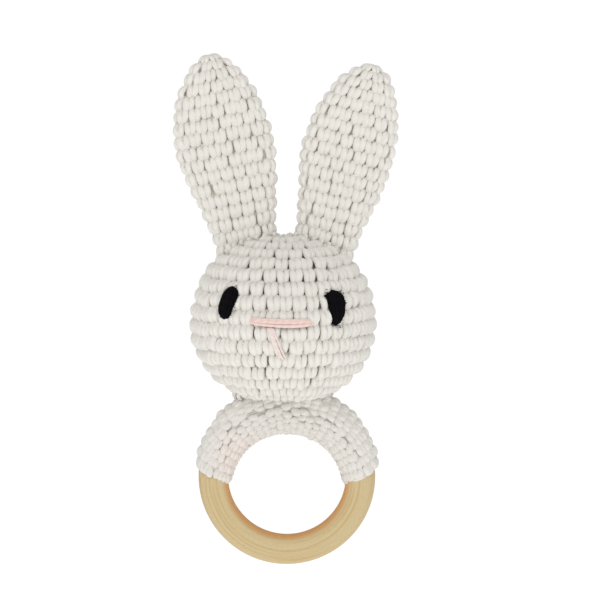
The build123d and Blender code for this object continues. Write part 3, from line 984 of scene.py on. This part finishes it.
def neck_seam_lines():
    """Stitches from the top of the sleeve up to the head, all round the neck."""
    down = np.interp(-HEAD_BOTTOM - NECK_SEAM_HEIGHT, -height_table, down_table)
    sleeve_top = RING_MID_R + SLEEVE_OUTER + 0.5 * MM
    lines = []
    for number in range(NECK_SEAM_STITCHES):
        turn = 2 * math.pi * (number + 0.5) / NECK_SEAM_STITCHES
        away = np.array([math.cos(turn), math.sin(turn), 0.0])
        across = math.atan2(away[0], -away[1]) + NECK_SEAM_SLANT
        upper = head_place(np.array(across), np.array(down), STITCH_END_SUNK)
        lower = np.array([HEAD_X, 0, HEAD_BOTTOM]) + away * NECK_SEAM_HALVES
        lower[2] = math.sqrt(max(sleeve_top**2 - lower[0] ** 2, 0)) - 0.9 * MM
        lines.append(arched(lower, upper, away, STITCH_RISE))
    return lines


def ear_seam_lines(ear):
    """Stitches round an ear's base, from the ear to the head, where the two surfaces meet."""
    downs = np.linspace(ear.down[-1] - EAR_SINK - EAR_SEAM_SEARCH, ear.down[-1], EAR_SEAM_STEPS)
    lines = []
    for number in range(EAR_SEAM_STITCHES):
        share = (number + 0.5) / EAR_SEAM_STITCHES
        points = ear.place(np.full(EAR_SEAM_STEPS, share), downs, np.zeros(EAR_SEAM_STEPS))
        reach = np.hypot(points[:, 0] - HEAD_X, points[:, 1])
        inside = reach < np.interp(-points[:, 2], -height_table, radius_table)
        inside &= points[:, 2] < HEAD_TOP
        cross = np.argmax(inside)
        meet = points[cross]
        above = ear.place(np.array(share), downs[cross] - EAR_SEAM_REACH, np.array(ABOVE))
        away = unit(meet - ear.place(np.array(share), downs[cross], np.array(-3 * MM)))
        outward = unit(meet - np.array([HEAD_X, 0, HEAD_WIDEST]))
        below = meet + unit(away + outward) * 1.4 * MM - outward * 0.6 * MM
        lines.append(arched(above, below, away + outward, STITCH_RISE))
    return lines


sleeve_seam = whip_stitches("sleeve_seam", "sleeve_seam_yarn", sleeve_seam_lines(), SLEEVE_SEAM_YARN_R)
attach(sleeve_seam, "sleeve")
neck = whip_stitches("neck_seam", "neck_seam_yarn", neck_seam_lines(), NECK_SEAM_YARN_R)
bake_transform(neck)

for side, ear in EAR_SURFACES.items():
    seam = whip_stitches(f"ear_seam_{side}", f"{side}_ear_seam_yarn", ear_seam_lines(ear), EAR_SEAM_YARN_R)
    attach(seam, "head")

# --- carried-over CAD parts -----------------------------------------------------------------------


def finish_node(node, material):
    """Gives a CAD node its own material."""
    piece = frame["nodes"][node]
    piece.data.materials.clear()
    piece.data.materials.append(material)


finish_node("wooden_ring", wood)
finish_node("capsule_base", plastic)
finish_node("capsule_lid", plastic)
for name in frame["nodes"]:
    if name.startswith("bead_"):
        finish_node(name, steel)

# --- camera, floor and light ----------------------------------------------------------------------

VIEW_WIDTH = 205 * MM
VIEW_CENTRE = (5.3 * MM, 0, 59.2 * MM)
CAMERA_DISTANCE = 2.0
CAMERA_ELEVATION = math.radians(5.5)
FLOOR_DROP = 100 * MM
FLOOR_HALF = 6.0
FLOOR_GLOW = 0.43


def make_camera():
    """A long lens in front of the face, a little above it."""
    data = bpy.data.cameras.new("camera")
    data.sensor_width = 36
    data.lens = data.sensor_width * CAMERA_DISTANCE / VIEW_WIDTH
    camera = bpy.data.objects.new("camera", data)
    bpy.context.scene.collection.objects.link(camera)
    camera.location = (
        VIEW_CENTRE[0],
        -CAMERA_DISTANCE * math.cos(CAMERA_ELEVATION),
        VIEW_CENTRE[2] + CAMERA_DISTANCE * math.sin(CAMERA_ELEVATION),
    )
    camera.rotation_euler = (math.pi / 2 - CAMERA_ELEVATION, 0, 0)
    bpy.context.scene.camera = camera


def floor_material():
    """White studio paper that glows a little, so that it stays white in every view."""
    material = plain_material("floor_paper", (0.96, 0.96, 0.96), 0.9, scale=40.0)
    shader = material.node_tree.nodes["Principled BSDF"]
    shader.inputs["Emission Color"].default_value = (1, 1, 1, 1)
    shader.inputs["Emission Strength"].default_value = FLOOR_GLOW
    return material


def make_floor():
    """A wide pale floor below the rattle."""
    mesh = bpy.data.meshes.new("floor")
    half = FLOOR_HALF
    level = cad_low.z - FLOOR_DROP
    corners = [(-half, -half, level), (half, -half, level), (half, half, level), (-half, half, level)]
    mesh.from_pydata(corners, [], [(0, 1, 2, 3)])
    new_piece("floor", mesh, floor_material())


def area_light(name, place, size, power):
    """A square soft box that faces the middle of the rattle."""
    data = bpy.data.lights.new(name, "AREA")
    data.size = size
    data.energy = power
    light = bpy.data.objects.new(name, data)
    bpy.context.scene.collection.objects.link(light)
    light.location = place
    towards = (cad_low + cad_high) / 2 - light.location
    light.rotation_euler = towards.to_track_quat("-Z", "Y").to_euler()


def make_world(light, background):
    """Even white surroundings: light is their strength on the object, background what is seen."""
    world = bpy.data.worlds.new("studio")
    world.use_nodes = True
    nodes, links = world.node_tree.nodes, world.node_tree.links
    path = nodes.new("ShaderNodeLightPath")
    strength = nodes.new("ShaderNodeMix")
    strength.inputs[2].default_value = light
    strength.inputs[3].default_value = background
    links.new(path.outputs["Is Camera Ray"], strength.inputs[0])
    links.new(strength.outputs[0], nodes["Background"].inputs["Strength"])
    nodes["Background"].inputs["Color"].default_value = (1, 1, 1, 1)
    bpy.context.scene.world = world


make_camera()
make_floor()
area_light("front", (0.3, -2.4, 0.3), 1.8, 10.5)
area_light("key", (-0.25, -0.9, 0.9), 0.6, 2.6)
make_world(0.64, 1.05)
bpy.context.scene.view_settings.view_transform = "Standard"
